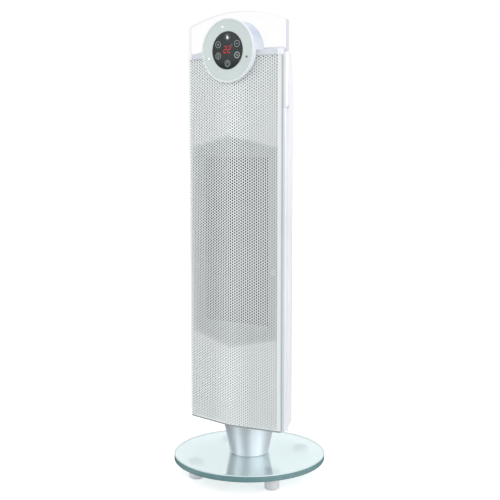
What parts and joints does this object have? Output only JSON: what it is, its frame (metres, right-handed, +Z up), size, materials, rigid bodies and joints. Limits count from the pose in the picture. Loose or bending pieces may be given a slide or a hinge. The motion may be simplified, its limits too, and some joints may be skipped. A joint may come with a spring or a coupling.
{
  "type": "tower fan heater",
  "caption": "Oscillating tower fan heater: folded perforated front, arched clear head plate with a round touch dial, silver neck and a round glass base on feet.",
  "frame": {"origin": "on the floor under the centre of the round base", "axes": "+Z up along the neck and the tower; the air outlet faces -Y; +X is to the right seen from the front"},
  "size_m": [0.24, 0.24, 0.719],
  "materials": {
    "base_glass": "polished flat glass with a green-blue edge",
    "clear_plate": "clear polished acrylic",
    "display_black": "black polished panel",
    "silver_paint": "satin silver",
    "grille_paint": "satin pale grey",
    "white_shell": "satin white",
    "side_grey": "satin grey",
    "ring_satin": "satin pale grey",
    "foot_metal": "turned and polished",
    "rubber": "matte",
    "steel": "zinc plated",
    "acetal": "natural acetal",
    "brass": "turned",
    "fin_aluminium": "rolled",
    "dark_plastic": "moulded",
    "black_plastic": "moulded",
    "guard_wire": "grey",
    "circuit_board": "solder mask",
    "digits_red": "red filter",
    "lens_white": "frosted",
    "foam": "open-cell filter foam",
    "switch_black": "polished black"
  },
  "bodies": {
    "base": {"glass_base": "base_glass", "base_feet": "foot_metal", "foot_pads": "rubber", "clamp_gasket": "rubber", "clamp_plate": "steel", "clamp_screws": "steel", "neck_gasket": "rubber", "neck": "silver_paint", "pivot_bush": "acetal", "fixed_gear": "acetal"},
    "tower": {"pivot_tube": "steel", "thrust_washer": "acetal", "retaining_washer": "steel", "retaining_clip": "steel", "osc_motor": "steel", "osc_motor_screws": "steel", "tower_floor": "white_shell", "side_frame_left": "side_grey", "side_frame_right": "side_grey", "rear_housing": "white_shell", "housing_screws": "steel", "switch_body": "black_plastic", "cord_inlet": "black_plastic", "front_grille": "grille_paint", "grille_rail": "grille_paint", "rail_end_caps": "white_shell", "fascia": "white_shell", "head_plate": "clear_plate", "head_bracket": "white_shell", "plate_screws": "steel", "dial_drum": "ring_satin", "drum_back": "white_shell", "dial_ring": "ring_satin", "indicator_lenses": "lens_white", "sensor_lens": "display_black", "display_glass": "display_black", "display_board": "circuit_board", "digit_display": "digits_red", "outlet_guard": "guard_wire", "heater_frame": "dark_plastic", "heater_bars": "fin_aluminium", "heater_fins": "fin_aluminium", "heater_terminals": "brass", "thermal_cutout": "black_plastic", "scroll_housing": "dark_plastic", "fan_motor": "steel", "fan_motor_screws": "steel", "top_bush": "brass", "power_board": "circuit_board", "board_relays": "black_plastic", "tilt_switch": "black_plastic"},
    "pinion": {"drive_pinion": "brass", "pinion_shaft": "steel"},
    "fan": {"fan_wheel": "dark_plastic", "fan_shaft": "steel"},
    "rocker": {"rocker": "switch_black"},
    "filter": {"filter_panel": "white_shell", "filter_foam": "foam"}
  },
  "joints": [
    {"name": "tower_swing", "type": "hinge", "parent": "base", "child": "tower", "pos_m": [0, 0, 0.08], "axis": [0, 0, 1], "range_deg": [-35, 35]},
    {"name": "pinion_spin", "type": "hinge", "parent": "tower", "child": "pinion", "pos_m": [-0.023, 0, 0.07], "axis": [0, 0, 1], "range_deg": [-100, 100]},
    {"name": "fan_spin", "type": "hinge", "parent": "tower", "child": "fan", "pos_m": [0.014, 0.0095, 0.37], "axis": [0, 0, 1], "continuous": true},
    {"name": "rocker_tilt", "type": "hinge", "parent": "tower", "child": "rocker", "pos_m": [0.018, 0.036, 0.127], "axis": [1, 0, 0], "range_deg": [-18, 0]},
    {"name": "filter_pull", "type": "slide", "parent": "tower", "child": "filter", "axis": [0, 1, 0], "range_m": [0, 0.03]}
  ],
  "couplings": [
    {"joint": "pinion_spin", "follows": "tower_swing", "ratio": 2.8333}
  ]
}
